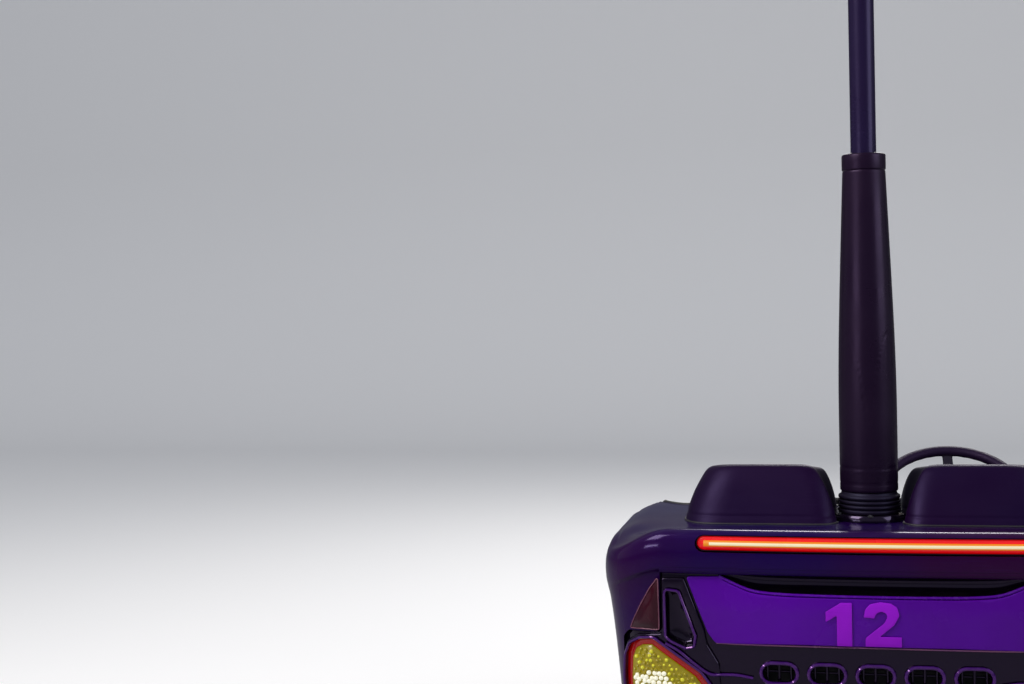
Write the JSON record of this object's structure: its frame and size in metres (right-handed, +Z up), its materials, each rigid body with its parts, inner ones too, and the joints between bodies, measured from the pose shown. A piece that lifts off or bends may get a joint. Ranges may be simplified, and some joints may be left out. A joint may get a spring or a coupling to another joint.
{
  "type": "bumper car",
  "caption": "Two-seat fairground bumper car with rubber bumper ring, lit rear, steered drive wheel and tilting ceiling-contact mast with a rubber boot",
  "frame": {"origin": "On the floor, under the middle of the bumper's outline", "axes": "+Z up, +Y forward, +X to the car's right"},
  "size_m": [1.16, 1.95, 2.8],
  "materials": {
    "chassis_paint": "satin black paint on welded steel",
    "bright_steel": "turned and brushed steel",
    "bumper_rubber": "moulded black rubber with light scuffs",
    "body_gloss": "clear-coated dark indigo moulding",
    "tub_plastic": "textured black moulding",
    "seat_vinyl": "dark purple grained vinyl",
    "hump_plastic": "matte dark purple moulding",
    "black_gloss": "gloss black moulding",
    "panel_violet": "violet number panel",
    "bar_lens": "red lens over a warm white light strip",
    "lamp_lens": "red-rimmed lens over yellow lights",
    "fin_gloss": "reddish brown gloss moulding",
    "headlamp_lens": "clear lamp lens over a bright reflector",
    "wheel_grip": "soft moulded rim",
    "tread_plate": "aluminium tread plate",
    "motor_cast": "painted cast motor housing",
    "tyre": "solid rubber tyre",
    "mast_satin": "satin navy-black coating",
    "boot_rubber": "ribbed black rubber",
    "contact_brass": "worn contact brass"
  },
  "bodies": {
    "car_body": {"chassis_frame": "chassis_paint", "rear_axle": "bright_steel", "bumper_channel": "chassis_paint", "bumper_tube": "bumper_rubber", "rear_shell": "body_gloss", "side_panel_left": "body_gloss", "side_panel_right": "body_gloss", "front_shell": "body_gloss", "cockpit_tub": "tub_plastic", "seat_plinth": "tub_plastic", "seat_cushion_left": "seat_vinyl", "seat_cushion_right": "seat_vinyl", "seat_back_left": "seat_vinyl", "seat_back_right": "seat_vinyl", "headrest_left": "hump_plastic", "headrest_right": "hump_plastic", "rear_fascia": "black_gloss", "number_panel": "panel_violet", "rear_grille": "black_gloss", "light_bar": "bar_lens", "lamp_surround_left": "black_gloss", "lamp_surround_right": "black_gloss", "tail_lamp_left": "lamp_lens", "tail_lamp_right": "lamp_lens", "fin_left": "fin_gloss", "fin_right": "fin_gloss", "nose_grille": "black_gloss", "headlamp_left": "headlamp_lens", "headlamp_right": "headlamp_lens", "dashboard": "tub_plastic", "steering_column": "chassis_paint", "pedal": "tread_plate", "mast_post": "chassis_paint", "mast_flange": "mast_satin", "mast_boot": "boot_rubber"},
    "steering": {"steering_shaft": "bright_steel", "steering_wheel": "wheel_grip"},
    "drive_unit": {"drive_unit": "bright_steel", "drive_motor": "motor_cast"},
    "drive_wheel": {"drive_wheel": "tyre"},
    "wheel_left": {"rear_wheel_left": "tyre"},
    "wheel_right": {"rear_wheel_right": "tyre"},
    "mast": {"mast_sleeve": "mast_satin", "mast_pole": "mast_satin"},
    "shoe": {"contact_shoe": "contact_brass"}
  },
  "joints": [
    {"name": "steering_turn", "type": "hinge", "parent": "car_body", "child": "steering", "pos_m": [0.22, 0.2, 0.785], "axis": [0, -0.5446, 0.8387], "continuous": true},
    {"name": "drive_turn", "type": "hinge", "parent": "car_body", "child": "drive_unit", "pos_m": [0, 0.69, 0.292], "axis": [0, 0, 1], "continuous": true},
    {"name": "drive_wheel_spin", "type": "hinge", "parent": "drive_unit", "child": "drive_wheel", "pos_m": [0, 0.69, 0.115], "axis": [1, 0, 0], "continuous": true},
    {"name": "wheel_left_spin", "type": "hinge", "parent": "car_body", "child": "wheel_left", "pos_m": [-0.385, -0.52, 0.1], "axis": [1, 0, 0], "continuous": true},
    {"name": "wheel_right_spin", "type": "hinge", "parent": "car_body", "child": "wheel_right", "pos_m": [0.385, -0.52, 0.1], "axis": [1, 0, 0], "continuous": true},
    {"name": "mast_tilt", "type": "hinge", "parent": "car_body", "child": "mast", "pos_m": [0, -0.6, 0.872], "axis": [1, 0, 0], "range_deg": [-4, 4], "stiffness_Nm_per_rad": 1500},
    {"name": "shoe_tilt", "type": "hinge", "parent": "mast", "child": "shoe", "pos_m": [0, -0.6, 2.77], "axis": [1, 0, 0], "range_deg": [-12, 12], "stiffness_Nm_per_rad": 5}
  ],
  "couplings": [
    {"joint": "drive_turn", "follows": "steering_turn", "ratio": 1}
  ]
}
